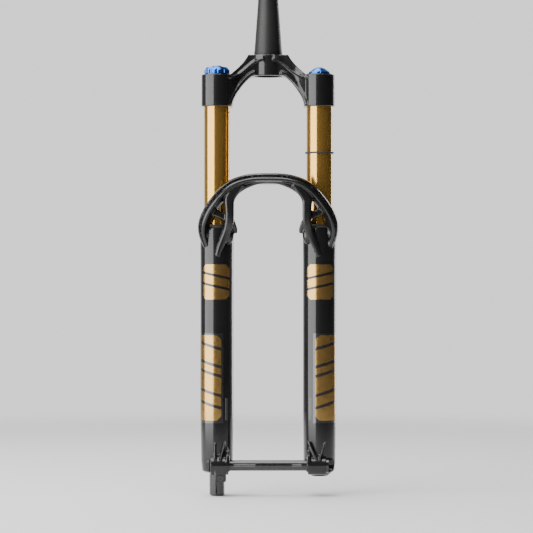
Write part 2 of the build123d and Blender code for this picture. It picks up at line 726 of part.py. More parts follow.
def make_dropout(side):
    """Axle boss in front of the leg, with the plate, ribs and web that tie it to the leg."""
    inner_face = Plane(origin=(side * BOSS_INNER_X, AXLE_Y, AXLE_Z), z_dir=(side, 0, 0))
    with BuildSketch(inner_face) as section:
        Circle(BOSS_R)
    extrude(section.sketch, amount=BOSS_OUTER_X - BOSS_INNER_X)
    # inner plate
    with BuildSketch(Plane.YZ.offset(side * 54.0)) as section:
        Polygon((-46.0, -553.0), (-53.5, -560.0), (-56.3, -568.0), (-56.3, -578.0), (-48.0, -585.5),
                (-38.0, -585.5), (-38.0, -553.0), align=None)
    extrude(section.sketch, amount=side * 4.5)
    # slanted ribs that run up from the boss and fade into the leg
    with BuildSketch(Plane.YZ) as section:
        Polygon((-46.5, -540.0), (-50.5, -543.5), (-56.3, -563.0), (-56.3, -570.0), (-38.0, -570.0),
                (-38.0, -540.0), align=None)
    rib_side = extrude(section.sketch, amount=side * ARCH_REACH, mode=Mode.PRIVATE)
    ribs = DAMPER_RIBS if side == DAMPER else AIR_RIBS
    for top_x, foot_x in ribs:
        with BuildSketch(Plane.XZ) as section:
            Polygon((side * (top_x - RIB_WIDTH / 2), -540.0), (side * (top_x + RIB_WIDTH / 2), -540.0),
                    (side * (foot_x + RIB_WIDTH / 2), -566.0),
                    (side * (foot_x - RIB_WIDTH / 2), -566.0), align=None)
        add(extrude(section.sketch, amount=90.0, mode=Mode.PRIVATE) & rib_side)
    # web between the ribs, set back from their edges
    with BuildSketch(Plane.YZ.offset(side * 56.0)) as section:
        Polygon((-44.0, -548.0), (-51.5, -564.0), (-51.5, -580.0), (-38.0, -583.0), (-38.0, -548.0),
                align=None)
    extrude(section.sketch, amount=side * 20.0)
    if side == DAMPER:
        with BuildSketch(Plane.XY.offset(-596.0)) as section:
            with Locations((PINCH_X, (CLAMP_FRONT_Y + CLAMP_BACK_Y) / 2)):
                Rectangle(15.0, CLAMP_BACK_Y - CLAMP_FRONT_Y)
        extrude(section.sketch, amount=22.0)


def brake_post_face(z):
    """Rear face of one brake post, with its normal towards the leg."""
    return Plane(origin=(BRAKE_POST_X, BRAKE_FACE_Y, z), z_dir=(0, -1, 0))


def make_brake_posts():
    """Two posts on the back of the air-side leg for a disc brake caliper."""
    for z in BRAKE_POST_HEIGHTS:
        with BuildSketch(brake_post_face(z)) as section:
            Circle(BRAKE_POST_R)
        extrude(section.sketch, amount=24.0)
        # gusset that ties the post to the leg
        with BuildSketch(Plane(origin=(BRAKE_POST_X + 8.0, BRAKE_FACE_Y - 4.0, z),
                               z_dir=(0, -1, 0))) as section:
            Rectangle(14.0, 13.0)
        extrude(section.sketch, amount=20.0)


def cut_leg_bores():
    below_feet_z = AIR_LEG_BOTTOM_Z - 2.0
    bore = [
        (0, ARCH_TOP_Z), (WIPER_CLEAR_R, ARCH_TOP_Z), (WIPER_CLEAR_R, WIPER_RIM_Z),
        (WIPER_SEAT_R, WIPER_RIM_Z), (WIPER_SEAT_R, FOAM_BOTTOM_Z),
        (LEG_BORE_R, FOAM_BOTTOM_Z - 1.0), (LEG_BORE_R, CAVITY_FLOOR_Z), (SHAFT_R, CAVITY_FLOOR_Z),
        (SHAFT_R, below_feet_z), (0, below_feet_z),
    ]
    for side in SIDES:
        with BuildSketch(leg_section(side)) as section:
            with BuildLine():
                Polyline(*bore, close=True)
            make_face()
        revolve(section.sketch, axis=leg_axis(side), mode=Mode.SUBTRACT)
    # the air-side nut sits in a pocket
    with BuildSketch(leg_level(AIR, AIR_LEG_BOTTOM_Z - 1)) as section:
        Circle(9.0)
    extrude(section.sketch, amount=AIR_NUT_SEAT_Z - AIR_LEG_BOTTOM_Z + 1, mode=Mode.SUBTRACT)
    # shadow groove round the damper-side leg
    with BuildSketch(leg_level(DAMPER, -262.2)) as section:
        Circle(LEG_R + 8.0)
        Circle(LEG_R - 0.6, mode=Mode.SUBTRACT)
    extrude(section.sketch, amount=1.0, mode=Mode.SUBTRACT)


def cut_dropouts():
    across = Plane(origin=(0, AXLE_Y, AXLE_Z), z_dir=(1, 0, 0))
    # sleeve bore on the damper side, axle bore and head seat on the air side
    with BuildSketch(across.offset(-BOSS_OUTER_X - 1)) as section:
        Circle(SLEEVE_R)
    extrude(section.sketch, amount=BOSS_OUTER_X + 1 - HUB_WIDTH / 2, mode=Mode.SUBTRACT)
    with BuildSketch(across.offset(HUB_WIDTH / 2)) as section:
        Circle(AXLE_R + AXLE_FIT)
    extrude(section.sketch, amount=30.0, mode=Mode.SUBTRACT)
    with BuildSketch(across.offset(AXLE_HEAD_X - 0.3)) as section:
        Circle(AXLE_HEAD_R + 0.4)
    extrude(section.sketch, amount=30.0, mode=Mode.SUBTRACT)
    # hub seats, open at the bottom
    seat_r = 10.7
    for side in SIDES:
        with BuildSketch(Plane.YZ.offset(side * HUB_WIDTH / 2)) as section:
            with Locations((AXLE_Y, AXLE_Z)):
                Circle(seat_r)
            with Locations((AXLE_Y, AXLE_Z - 12.0)):
                Rectangle(2 * seat_r, 24.0)
        extrude(section.sketch, amount=-side * 6.0, mode=Mode.SUBTRACT)
    # split and bolt hole of the sleeve clamp
    with BuildSketch(Plane.XY.offset(-600.0)) as section:
        with Locations((PINCH_X, AXLE_Y)):
            Rectangle(32.0, 1.4)
    extrude(section.sketch, amount=-AXLE_Z - 600.0 + 46.0, mode=Mode.SUBTRACT)
    with BuildSketch(Plane(origin=(PINCH_X, CLAMP_FRONT_Y, PINCH_Z), z_dir=(0, 1, 0))) as section:
        Circle(PINCH_R)
    extrude(section.sketch, amount=CLAMP_BACK_Y - CLAMP_FRONT_Y, mode=Mode.SUBTRACT)


MUDGUARD_SPACING = 40.0
MUDGUARD_Z = -177.5
MUDGUARD_R = 2.1
HOSE_BOSS_X = 60.5
HOSE_BOSS_Z = -225.0
HOSE_HOLE_R = 1.7


def cut_small_holes():
    for z in BRAKE_POST_HEIGHTS:
        with BuildSketch(brake_post_face(z)) as section:
            Circle(BRAKE_HOLE_R)
        extrude(section.sketch, amount=BRAKE_HOLE_DEPTH, mode=Mode.SUBTRACT)
    for x in (-MUDGUARD_SPACING / 2, MUDGUARD_SPACING / 2):
        with BuildSketch(Plane(origin=(x, ARCH_BACK_Y, MUDGUARD_Z), z_dir=(0, -1, 0))) as section:
            Circle(MUDGUARD_R)
        extrude(section.sketch, amount=8.0, mode=Mode.SUBTRACT)
    with BuildSketch(Plane(origin=(HOSE_BOSS_X, -58.0, HOSE_BOSS_Z), z_dir=(0, 1, 0))) as section:
        Circle(HOSE_HOLE_R)
    extrude(section.sketch, amount=7.5, mode=Mode.SUBTRACT)
    for side in SIDES:
        with BuildSketch(bleeder_face(side, 0.1)) as section:
            Circle(BLEEDER_POCKET_R)
        extrude(section.sketch, amount=BLEEDER_POCKET_DEPTH, mode=Mode.SUBTRACT)


make_steerer()
make_crown()
make_stanchions()
make_top_caps()
make_compression_adjusters()
make_air_valve()
make_damper()
make_air_spring()
make_seals()
make_foot_fasteners()
make_rebound()
make_axle()
make_bleeders()
make_lower_casting()
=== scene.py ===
"""Looks of a mountain-bike suspension fork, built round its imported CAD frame. Units are metres."""
import json
import math

import bmesh
import bpy
import numpy as np
from mathutils import Matrix, Vector


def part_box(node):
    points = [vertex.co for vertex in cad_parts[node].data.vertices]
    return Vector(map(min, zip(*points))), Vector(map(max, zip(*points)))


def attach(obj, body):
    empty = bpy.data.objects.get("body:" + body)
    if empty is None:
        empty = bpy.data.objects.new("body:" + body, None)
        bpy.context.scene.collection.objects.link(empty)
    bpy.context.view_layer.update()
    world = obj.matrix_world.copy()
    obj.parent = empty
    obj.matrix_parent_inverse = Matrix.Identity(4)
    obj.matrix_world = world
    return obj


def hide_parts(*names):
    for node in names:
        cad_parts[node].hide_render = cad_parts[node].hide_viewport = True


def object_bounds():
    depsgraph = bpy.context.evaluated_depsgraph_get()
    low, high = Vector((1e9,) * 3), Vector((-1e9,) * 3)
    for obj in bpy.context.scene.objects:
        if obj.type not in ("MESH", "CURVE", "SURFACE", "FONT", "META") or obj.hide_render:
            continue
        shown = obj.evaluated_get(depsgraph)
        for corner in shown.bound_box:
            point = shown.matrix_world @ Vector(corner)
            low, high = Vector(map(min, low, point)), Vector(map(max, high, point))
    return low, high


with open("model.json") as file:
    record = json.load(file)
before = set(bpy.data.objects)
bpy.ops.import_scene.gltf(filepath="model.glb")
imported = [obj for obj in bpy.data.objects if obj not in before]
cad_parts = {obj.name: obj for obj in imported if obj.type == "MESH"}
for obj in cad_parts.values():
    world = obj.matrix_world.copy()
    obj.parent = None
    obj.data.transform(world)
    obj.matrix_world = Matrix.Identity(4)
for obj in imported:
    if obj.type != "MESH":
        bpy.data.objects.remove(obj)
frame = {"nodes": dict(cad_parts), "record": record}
CAD_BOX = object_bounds()

MM = 0.001
SIDES = (-1, 1)
FRONT = Vector((0, -1, 0))


# ------------------------------------------------------------------ places, from the frame
def middle(node):
    low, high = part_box(node)
    return (low + high) / 2


def top_of(node):
    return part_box(node)[1].z


def bottom_of(node):
    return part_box(node)[0].z


LEG_X = middle("stanchion_air").x
LEG_Y = middle("stanchion_air").y
STANCHION_R = (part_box("stanchion_air")[1].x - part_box("stanchion_air")[0].x) / 2
WIPER_TOP = top_of("wiper_seals")
CROWN_BOTTOM = bottom_of("crown")
LOBE_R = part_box("crown")[1].x - LEG_X
LOBE_TOP = -28.5 * MM
AXLE = middle("axle_sleeve")
ARCH_TOP = top_of("lower_casting")
FLOOR_Z = CAD_BOX[0].z


def mount(name):
    return next(m for m in frame["record"]["mounts"] if m["name"] == name)


HOSE_HOLE = Vector(mount("hose_guide_hole")["pos_m"])
MUDGUARD = Vector(mount("mudguard_holes")["pos_m"])
MUDGUARD_STEP = mount("mudguard_holes")["dims"]["spacing_x_mm"] * MM / 2
BRAKE_POSTS = Vector(mount("disc_brake_posts")["pos_m"])
BRAKE_STEP = mount("disc_brake_posts")["dims"]["spacing_y_mm"] * MM / 2


# ------------------------------------------------------------------ material nodes
class Shader:
    """One principled material, with short calls for the procedural detail that drives it."""

    def __init__(self, name, color, metallic=0.0, roughness=0.5):
        self.mat = bpy.data.materials.new(name)
        self.mat.use_nodes = True
        self.tree = self.mat.node_tree
        self.bsdf = self.tree.nodes["Principled BSDF"]
        self.set("Base Color", (*color, 1))
        self.set("Metallic", metallic)
        self.set("Roughness", roughness)
        self.color = color
        self.roughness = roughness
        self.last_bump = None

    def set(self, socket, value):
        self.bsdf.inputs[socket].default_value = value
        return self

    def node(self, kind, **values):
        made = self.tree.nodes.new(kind)
        for key, value in values.items():
            if key in made.inputs:
                made.inputs[key].default_value = value
            else:
                setattr(made, key, value)
        return made

    def link(self, source, target):
        self.tree.links.new(source, target)

    def place(self, scale=(1, 1, 1)):
        coords = self.node("ShaderNodeTexCoord")
        mapping = self.node("ShaderNodeMapping")
        mapping.inputs["Scale"].default_value = scale
        self.link(coords.outputs["Object"], mapping.inputs["Vector"])
        return mapping.outputs["Vector"]

    def noise(self, scale, stretch=(1, 1, 1), detail=4.0):
        made = self.node("ShaderNodeTexNoise", Scale=scale, Detail=detail)
        self.link(self.place(stretch), made.inputs["Vector"])
        return made.outputs["Fac"]

    def ranged(self, value, low, high):
        made = self.node("ShaderNodeMapRange")
        made.inputs["From Min"].default_value = 0.3
        made.inputs["From Max"].default_value = 0.7
        made.inputs["To Min"].default_value = low
        made.inputs["To Max"].default_value = high
        self.link(value, made.inputs["Value"])
        return made.outputs["Result"]

    def vary_roughness(self, value, spread):
        self.link(self.ranged(value, self.roughness - spread, self.roughness + spread),
                  self.bsdf.inputs["Roughness"])
        return self

    def vary_color(self, value, other):
        mix = self.node("ShaderNodeMix", data_type="RGBA")
        mix.inputs[6].default_value = (*self.color, 1)
        mix.inputs[7].default_value = (*other, 1)
        self.link(self.ranged(value, 0, 1), mix.inputs[0])
        self.link(mix.outputs[2], self.bsdf.inputs["Base Color"])
        return self

    def bump(self, value, strength, distance):
        made = self.node("ShaderNodeBump", Strength=strength, Distance=distance)
        self.link(value, made.inputs["Height"])
        if self.last_bump:
            self.link(self.last_bump, made.inputs["Normal"])
        self.last_bump = made.outputs["Normal"]
        self.link(self.last_bump, self.bsdf.inputs["Normal"])
        return self


def gloss_paint():
    """Deep gloss black enamel with a faint orange peel."""
    paint = Shader("gloss_black_paint", (0.004, 0.004, 0.0045), roughness=0.38)
    paint.set("Coat Weight", 1.0).set("Coat Roughness", 0.03).set("Coat IOR", 1.42)
    paint.set("Specular IOR Level", 0.15)
    paint.vary_roughness(paint.noise(60), 0.05)
    paint.vary_color(paint.noise(9, detail=6), (0.009, 0.009, 0.0095))
    paint.bump(paint.noise(420, detail=2), 0.06, 0.00006)
    return paint.mat


def gold_anodising():
    """Hard-anodised sliding surface: warm gold with fine lengthwise streaks."""
    gold = Shader("gold_anodised", (0.60, 0.345, 0.08), metallic=0.86, roughness=0.15)
    streaks = gold.noise(1, stretch=(900, 900, 14), detail=3)
    gold.vary_roughness(streaks, 0.03)
    gold.vary_color(gold.noise(1, stretch=(420, 420, 3), detail=3), (0.56, 0.315, 0.07))
    gold.bump(streaks, 0.02, 0.00001)
    return gold.mat


def satin_steerer():
    """Turned and anodised tube: satin dark grey with fine rings round it."""
    tube = Shader("satin_steerer", (0.026, 0.026, 0.025), metallic=0.5, roughness=0.48)
    rings = tube.noise(1, stretch=(6, 6, 1500), detail=2)
    tube.vary_roughness(rings, 0.07)
    tube.vary_color(tube.noise(25), (0.021, 0.021, 0.021))
    tube.bump(rings, 0.08, 0.00004)
    return tube.mat


def anodised(name, color, other, roughness):
    """Anodised aluminium with a fine bead-blasted grain."""
    metal = Shader(name, color, metallic=0.9, roughness=roughness)
    metal.vary_roughness(metal.noise(700, detail=2), 0.06)
    metal.vary_color(metal.noise(90, detail=5), other)
    metal.bump(metal.noise(2600, detail=1), 0.08, 0.00003)
    return metal.mat


def black_anodised():
    """Dark sealed anodising, glossier than the coloured kind."""
    metal = Shader("black_anodised", (0.008, 0.008, 0.009), metallic=0.2, roughness=0.3)
    metal.set("Coat Weight", 0.8).set("Coat Roughness", 0.09)
    metal.vary_roughness(metal.noise(500, detail=2), 0.05)
    metal.vary_color(metal.noise(90, detail=5), (0.013, 0.013, 0.014))
    metal.bump(metal.noise(2200, detail=1), 0.05, 0.00002)
    return metal.mat


def machined(name, color, roughness, rings=True):
    """Bare turned metal, with tool marks."""
    metal = Shader(name, color, metallic=1.0, roughness=roughness)
    marks = metal.noise(1, stretch=(40, 40, 2200) if rings else (900, 900, 900), detail=2)
    metal.vary_roughness(marks, 0.08)
    metal.vary_color(metal.noise(120), tuple(c * 0.85 for c in color))
    metal.bump(marks, 0.12, 0.00003)
    return metal.mat


def rubber():
    """Moulded black rubber with a dull, slightly uneven skin."""
    skin = Shader("black_rubber", (0.016, 0.016, 0.016), roughness=0.62)
    skin.vary_roughness(skin.noise(180), 0.1)
    skin.vary_color(skin.noise(60), (0.024, 0.024, 0.023))
    skin.bump(skin.noise(1400, detail=3), 0.15, 0.00005)
    return skin.mat


def plastic(name, color, roughness):
    part = Shader(name, color, roughness=roughness)
    part.vary_roughness(part.noise(300), 0.06)
    part.vary_color(part.noise(40), tuple(c * 0.88 for c in color))
    part.bump(part.noise(1200, detail=2), 0.1, 0.00005)
    return part.mat


def foam():
    """Open-cell oiled foam."""
    cells = Shader("oiled_foam", (0.05, 0.05, 0.048), roughness=0.8)
    holes = cells.node("ShaderNodeTexVoronoi", Scale=1400)
    cells.link(cells.place(), holes.inputs["Vector"])
    cells.bump(holes.outputs["Distance"], 0.7, 0.0003)
    cells.vary_color(cells.noise(500), (0.02, 0.02, 0.02))
    return cells.mat


def printed_gold():
    """Satin gold foil graphic with a very fine flake."""
    foil = Shader("gold_graphic", (0.50, 0.305, 0.10), metallic=0.9, roughness=0.22)
    foil.vary_roughness(foil.noise(240), 0.03)
    foil.vary_color(foil.noise(260, detail=2), (0.46, 0.28, 0.09))
    foil.bump(foil.noise(300, detail=2), 0.03, 0.00002)
    return foil.mat


def clear_film():
    """Protective film over the black paint: a little greyer and less glossy than the paint."""
    film = Shader("clear_film", (0.007, 0.007, 0.0072), roughness=0.3)
    film.set("Coat Weight", 1.0).set("Coat Roughness", 0.03).set("Coat IOR", 1.54)
    film.vary_roughness(film.noise(150), 0.05)
    film.vary_color(film.noise(30), (0.009, 0.009, 0.0092))
    film.bump(film.noise(900, detail=2), 0.05, 0.00003)
    return film.mat


def pale_print():
    """Thin grey ink of the small generic marks."""
    ink = Shader("pale_print", (0.22, 0.22, 0.22), roughness=0.5)
    ink.vary_roughness(ink.noise(600), 0.06)
    ink.vary_color(ink.noise(500), (0.17, 0.17, 0.17))
    return ink.mat


MATERIALS = {
    "paint": gloss_paint(),
    "gold": gold_anodising(),
    "steerer": satin_steerer(),
    "blue": anodised("blue_anodised", (0.02, 0.14, 0.56), (0.014, 0.11, 0.46), 0.25),
    "black": black_anodised(),
    "silver": machined("machined_alloy", (0.74, 0.74, 0.75), 0.28),
    "steel": machined("steel", (0.50, 0.50, 0.51), 0.3, rings=False),
    "brass": machined("brass", (0.66, 0.47, 0.17), 0.3, rings=False),
    "rubber": rubber(),
    "foam": foam(),
    "bushing": plastic("bushing_liner", (0.10, 0.12, 0.10), 0.5),
    "spacer": plastic("moulded_spacer", (0.20, 0.20, 0.22), 0.45),
    "graphic": printed_gold(),
    "film": clear_film(),
    "print": pale_print(),
}

SLOT_MATERIAL = {
    "steerer_dark": "steerer", "crown_black": "paint", "casting_black": "paint",
    "stanchion_gold": "gold", "blue_anodised": "blue", "black_anodised": "black",
    "axle_black": "black", "silver_alloy": "silver", "steel": "steel", "brass_valve": "brass",
    "rubber_black": "rubber", "foam": "foam", "bushing_grey": "bushing",
    "spacer_plastic": "spacer",
}


def dress_cad_nodes():
    """Give every CAD node the procedural material of its slot."""
    for part in frame["record"]["subparts"]:
        node = frame["nodes"][part["node"]]
        look = MATERIALS[SLOT_MATERIAL[part["material_slot"]]]
        if not node.material_slots:
            node.data.materials.append(look)
        for slot in node.material_slots:
            slot.material = look


# ------------------------------------------------------------------ mesh helpers
SHARP_ANGLE = math.radians(38)


def finished(name, mesh, look, body):
    """Turn a mesh into a visible piece that rides on a body."""
    piece = bpy.data.objects.new(name, mesh)
    bpy.context.scene.collection.objects.link(piece)
    mesh.materials.clear()
    mesh.materials.append(MATERIALS[look])
    mesh.polygons.foreach_set("use_smooth", [True] * len(mesh.polygons))
    mesh.set_sharp_from_angle(angle=SHARP_ANGLE)
    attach(piece, body)
    return piece


def mesh_of(bm):
    bmesh.ops.recalc_face_normals(bm, faces=bm.faces)
    mesh = bpy.data.meshes.new("mesh")
    bm.to_mesh(mesh)
    bm.free()
    return mesh


def smooth_path(points, steps=8):
    """Catmull-Rom curve through the points."""
    pts = [Vector(p) for p in points]
    pts = [2 * pts[0] - pts[1], *pts, 2 * pts[-1] - pts[-2]]
    made = []
    for a, b, c, d in zip(pts, pts[1:], pts[2:], pts[3:]):
        for step in range(steps):
            t = step / steps
            made.append(0.5 * (2 * b + (c - a) * t + (2 * a - 5 * b + 4 * c - d) * t ** 2
                               + (3 * b - a - 3 * c + d) * t ** 3))
    made.append(pts[-2])
    return made


def sweep(bm, points, section, scale=None, steps=8):
    """Closed bar along a path. Section points are (away from the arch's middle, towards the front)."""
    path = smooth_path(points, steps)
    rings = []
    for index, here in enumerate(path):
        before = path[max(index - 1, 0)]
        after = path[min(index + 1, len(path) - 1)]
        along = (after - before).normalized()
        side = along.cross(FRONT).normalized()
        front = side.cross(along).normalized()
        share = index / (len(path) - 1)
        outer, inner, deep = scale(share) if scale else (1, 1, 1)
        rings.append([bm.verts.new(here + side * n * (outer if n > 0 else inner) * MM
                                   + front * d * deep * MM) for n, d in section])
    count = len(section)
    for low, high in zip(rings, rings[1:]):
        for i in range(count):
            j = (i + 1) % count
            bm.faces.new((low[i], low[j], high[j], high[i]))
    bm.faces.new(rings[0])
    bm.faces.new(rings[-1])


def rounded_section(width, depth, corner, per_corner=3):
    """Rounded rectangle in millimetres, as (n, d) points."""
    made = []
    for cx, cy, start in ((1, 1, 0), (-1, 1, 90), (-1, -1, 180), (1, -1, 270)):
        for i in range(per_corner + 1):
            angle = math.radians(start + 90 * i / per_corner)
            made.append((cx * (width / 2 - corner) + corner * math.cos(angle),
                         cy * (depth / 2 - corner) + corner * math.sin(angle)))
    return made


def lathe(bm, outline, centre, segments=96):
    """Closed solid turned about a vertical axis. Outline points are (radius, height) in metres."""
    rings = []
    for i in range(segments):
        angle = 2 * math.pi * i / segments
        across, back = math.sin(angle), -math.cos(angle)
        rings.append([bm.verts.new((centre[0] + r * across, centre[1] + r * back, z))
                      for r, z in outline])
    count = len(outline)
    for i in range(segments):
        here, there = rings[i], rings[(i + 1) % segments]
        for j in range(count):
            k = (j + 1) % count
            bm.faces.new((here[j], here[k], there[k], there[j]))


def rod(bm, start, end, radius, segments=48):
    """Capped cylinder between two points."""
    start, end = Vector(start), Vector(end)
    along = end - start
    turn = along.to_track_quat("Z", "Y").to_matrix().to_4x4()
    place = Matrix.Translation((start + end) / 2) @ turn
    bmesh.ops.create_cone(bm, cap_ends=True, segments=segments, radius1=radius, radius2=radius,
                          depth=along.length, matrix=place)


def block(bm, low, high):
    low, high = Vector(low), Vector(high)
    place = Matrix.Translation((low + high) / 2) @ Matrix.Diagonal((*(high - low), 1))
    bmesh.ops.create_cube(bm, size=1, matrix=place)


def ellipsoid(bm, centre, radii):
    place = Matrix.Translation(Vector(centre)) @ Matrix.Diagonal((*radii, 1))
    bmesh.ops.create_icosphere(bm, subdivisions=3, radius=1, matrix=place)


def baked(mesh, *modifiers):
    """Apply modifiers, given as (type, {settings}), to a mesh and return the new mesh."""
    holder = bpy.data.objects.new("holder", mesh)
    bpy.context.scene.collection.objects.link(holder)
    for kind, settings in modifiers:
        made = holder.modifiers.new(kind.lower(), kind)
        for key, value in settings.items():
            setattr(made, key, value)
    depsgraph = bpy.context.evaluated_depsgraph_get()
    result = bpy.data.meshes.new_from_object(holder.evaluated_get(depsgraph))
    bpy.data.objects.remove(holder)
    return result


def cut(mesh, cutter_bm):
    """Take a closed cutter away from a mesh."""
    cutter = bpy.data.objects.new("cutter", mesh_of(cutter_bm))
    bpy.context.scene.collection.objects.link(cutter)
    result = baked(mesh, ("BOOLEAN", {"object": cutter, "operation": "DIFFERENCE", "solver": "EXACT"}))
    bpy.data.objects.remove(cutter)
    return result


def joined(*meshes):
    bm = bmesh.new()
    for mesh in meshes:
        bm.from_mesh(mesh)
    made = bpy.data.meshes.new("joined")
    bm.to_mesh(made)
    bm.free()
    return made


def cast(mesh, voxel, passes):
    """Fuse overlapping solids into one skin with soft, cast edges."""
    return baked(mesh, ("REMESH", {"mode": "VOXEL", "voxel_size": voxel}),
                 ("SMOOTH", {"factor": 0.5, "iterations": passes}))


def true_up(mesh, centre, radius_at, low, high, tolerance):
    """Put skin that lies close to a turned surface exactly on it."""
    co = np.empty(len(mesh.vertices) * 3, np.float32)
    mesh.vertices.foreach_get("co", co)
    co = co.reshape(-1, 3)
    offset = co[:, :2] - np.array(centre[:2], np.float32)
    radius = np.hypot(offset[:, 0], offset[:, 1])
    target = radius_at(co[:, 2])
    near = (np.abs(radius - target) < tolerance) & (co[:, 2] > low) & (co[:, 2] < high)
    share = np.where(near, target / np.maximum(radius, 1e-6), 1.0)
    co[:, :2] = offset * share[:, None] + np.array(centre[:2], np.float32)
    mesh.vertices.foreach_set("co", co.ravel())
    mesh.update()


def cad_copy(node):
    return frame["nodes"][node].data.copy()


# ------------------------------------------------------------------ lower casting
CUT_Z = -290 * MM
# outer ridge, groove, inner ridge, then an underside that leans back
ARCH_SECTION = [(6.8, -3.0), (7.2, 0.6), (6.4, 3.0), (5.0, 5.6), (4.3, 6.0), (3.9, 4.6), (3.6, 2.2),
                (2.9, 2.2), (2.2, 4.8), (1.0, 7.2), (-0.6, 8.6), (-2.2, 9.0), (-3.4, 8.0), (-4.2, 5.6),
                (-6.6, 0.0), (-8.4, -5.0), (-7.8, -8.6), (-3.0, -9.2), (4.0, -9.2), (6.2, -7.0)]


def leg_radius(z):
    """Radius of a leg's outside at a height, straight between the CAD's steps."""
    heights = np.array([-570.0, -500.0, -290.0, -250.0]) * MM
    radii = np.array([22.3, 23.1, 23.1, 23.5]) * MM
    return np.interp(z, heights, radii)


def arch_path():
    """Centre line of the arch from its middle down to the outer front of the +X leg."""
    half = [(0, -59.0, -174.6), (18, -59.0, -175.0), (34, -59.2, -177.4), (50, -59.2, -183.4),
            (64, -58.8, -194.4), (76, -57.6, -208.4), (86, -54.5, -223.5), (91.5, -49.5, -238.5),
            (91.5, -43.5, -252.0), (87.0, -39.0, -266.0), (82.0, -38.0, -278.0)]
    right = [Vector(p) * MM for p in half]
    left = [Vector((-p.x, p.y, p.z)) for p in reversed(right[1:])]
    return left + right


def arch_solid(bm):
    def taper(share):
        """Thicker inwards beside the windows, and slimmer where it runs down the leg."""
        from_middle = abs(share - 0.5) * 2
        drop = max(from_middle - 0.78, 0) / 0.22
        inner = float(np.interp(from_middle, [0.0, 0.2, 0.35, 0.6, 0.72, 0.85, 1.0],
                                [1.0, 1.0, 1.15, 1.35, 1.3, 0.9, 0.6]))
        outer = float(np.interp(from_middle, [0.0, 0.4, 0.7, 0.85, 1.0], [1.0, 1.0, 0.85, 0.72, 0.6]))
        return outer, inner, 1 - 0.25 * drop

    # from +X to -X, so that the section's first axis points away from the arch's middle
    sweep(bm, arch_path()[::-1], ARCH_SECTION, taper)


def strut_solids(bm):
    """Inner struts, from the arch's underside down on to the front of each leg."""
    route = [(36.0, -58.5, -182.0), (46.0, -58.0, -191.5), (53.4, -57.5, -203.0),
             (53.6, -57.0, -215.0), (53.4, -55.5, -226.0), (54.2, -53.5, -237.0),
             (57.0, -51.0, -247.0), (61.8, -48.6, -259.0), (66.5, -47.0, -270.0),
             (70.5, -45.5, -282.0)]
    widths = [9.0, 14.0, 14.5, 12.4, 12.0, 12.0, 11.0, 9.8, 8.4, 6.5]

    def taper(share):
        width = float(np.interp(share * (len(widths) - 1), range(len(widths)), widths))
        return width / 10, width / 10, 1.0 - 0.3 * share

    # rounded web where each strut turns into the arch's underside
    web = [(0, -176.8), (10.0, -177.4), (19.5, -179.4), (28.4, -182.8), (35.0, -186.0), (41.4, -190.4),
           (46.8, -195.6), (51.0, -202.5), (53.0, -212.0)]
    for side in SIDES:
        sweep(bm, [Vector((side * x, y, z)) * MM for x, y, z in route],
              rounded_section(10.0, 14.0, 3.0), taper)
        sweep(bm, [Vector((side * x, -55.5, z)) * MM for x, z in web], rounded_section(10.0, 12.0, 3.0))


def root_solids(bm):
    """Collars, inner nubs, braces and the hose-guide boss round the seal height."""
    for side in SIDES:
        centre = (side * LEG_X, LEG_Y)
        seat = 21.45 * MM
        lathe(bm, [(18.9 * MM, CUT_Z - 2 * MM), (23.1 * MM, CUT_Z - 2 * MM), (23.15 * MM, -280 * MM),
                   (23.5 * MM, -252 * MM), (23.5 * MM, -245.5 * MM), (22.9 * MM, -242.6 * MM),
                   (seat, -242.6 * MM), (seat, -256 * MM), (18.9 * MM, -257 * MM)], centre)
        # flare on the inner edge, which ends in a short step above the leg
        flare = [(54.0, -52.0, -214.0), (51.6, -49.0, -228.0), (48.4, -45.0, -238.0),
                 (47.0, -42.0, -244.0), (47.2, -40.0, -248.5)]
        sweep(bm, [Vector((side * x, y, z)) * MM for x, y, z in flare],
              rounded_section(9.0, 13.0, 2.6), lambda share: (0.5 + 0.5 * share,) * 3)
        ellipsoid(bm, Vector((side * 54.5, -43.0, -252.0)) * MM, Vector((7.0, 8.0, 14.0)) * MM)
        ellipsoid(bm, Vector((side * 88.0, -41.0, -248.0)) * MM, Vector((7.0, 8.5, 13.0)) * MM)
    brace = rounded_section(9.0, 5.6, 1.6)
    sweep(bm, [Vector(p) * MM for p in ((-82.0, -54.8, -220.5), (-70.0, -54.3, -223.5),
                                        (-61.5, -53.8, -228.0), (-54.0, -54.3, -231.0))], brace)
    sweep(bm, [Vector(p) * MM for p in ((52.0, -54.5, -227.0), (60.5, -54.3, -226.0),
                                        (69.0, -54.3, -222.5), (80.0, -54.8, -215.5))], brace)
    rod(bm, (HOSE_HOLE.x, -50.5 * MM, HOSE_HOLE.z), (HOSE_HOLE.x, -58.0 * MM, HOSE_HOLE.z), 5.6 * MM)


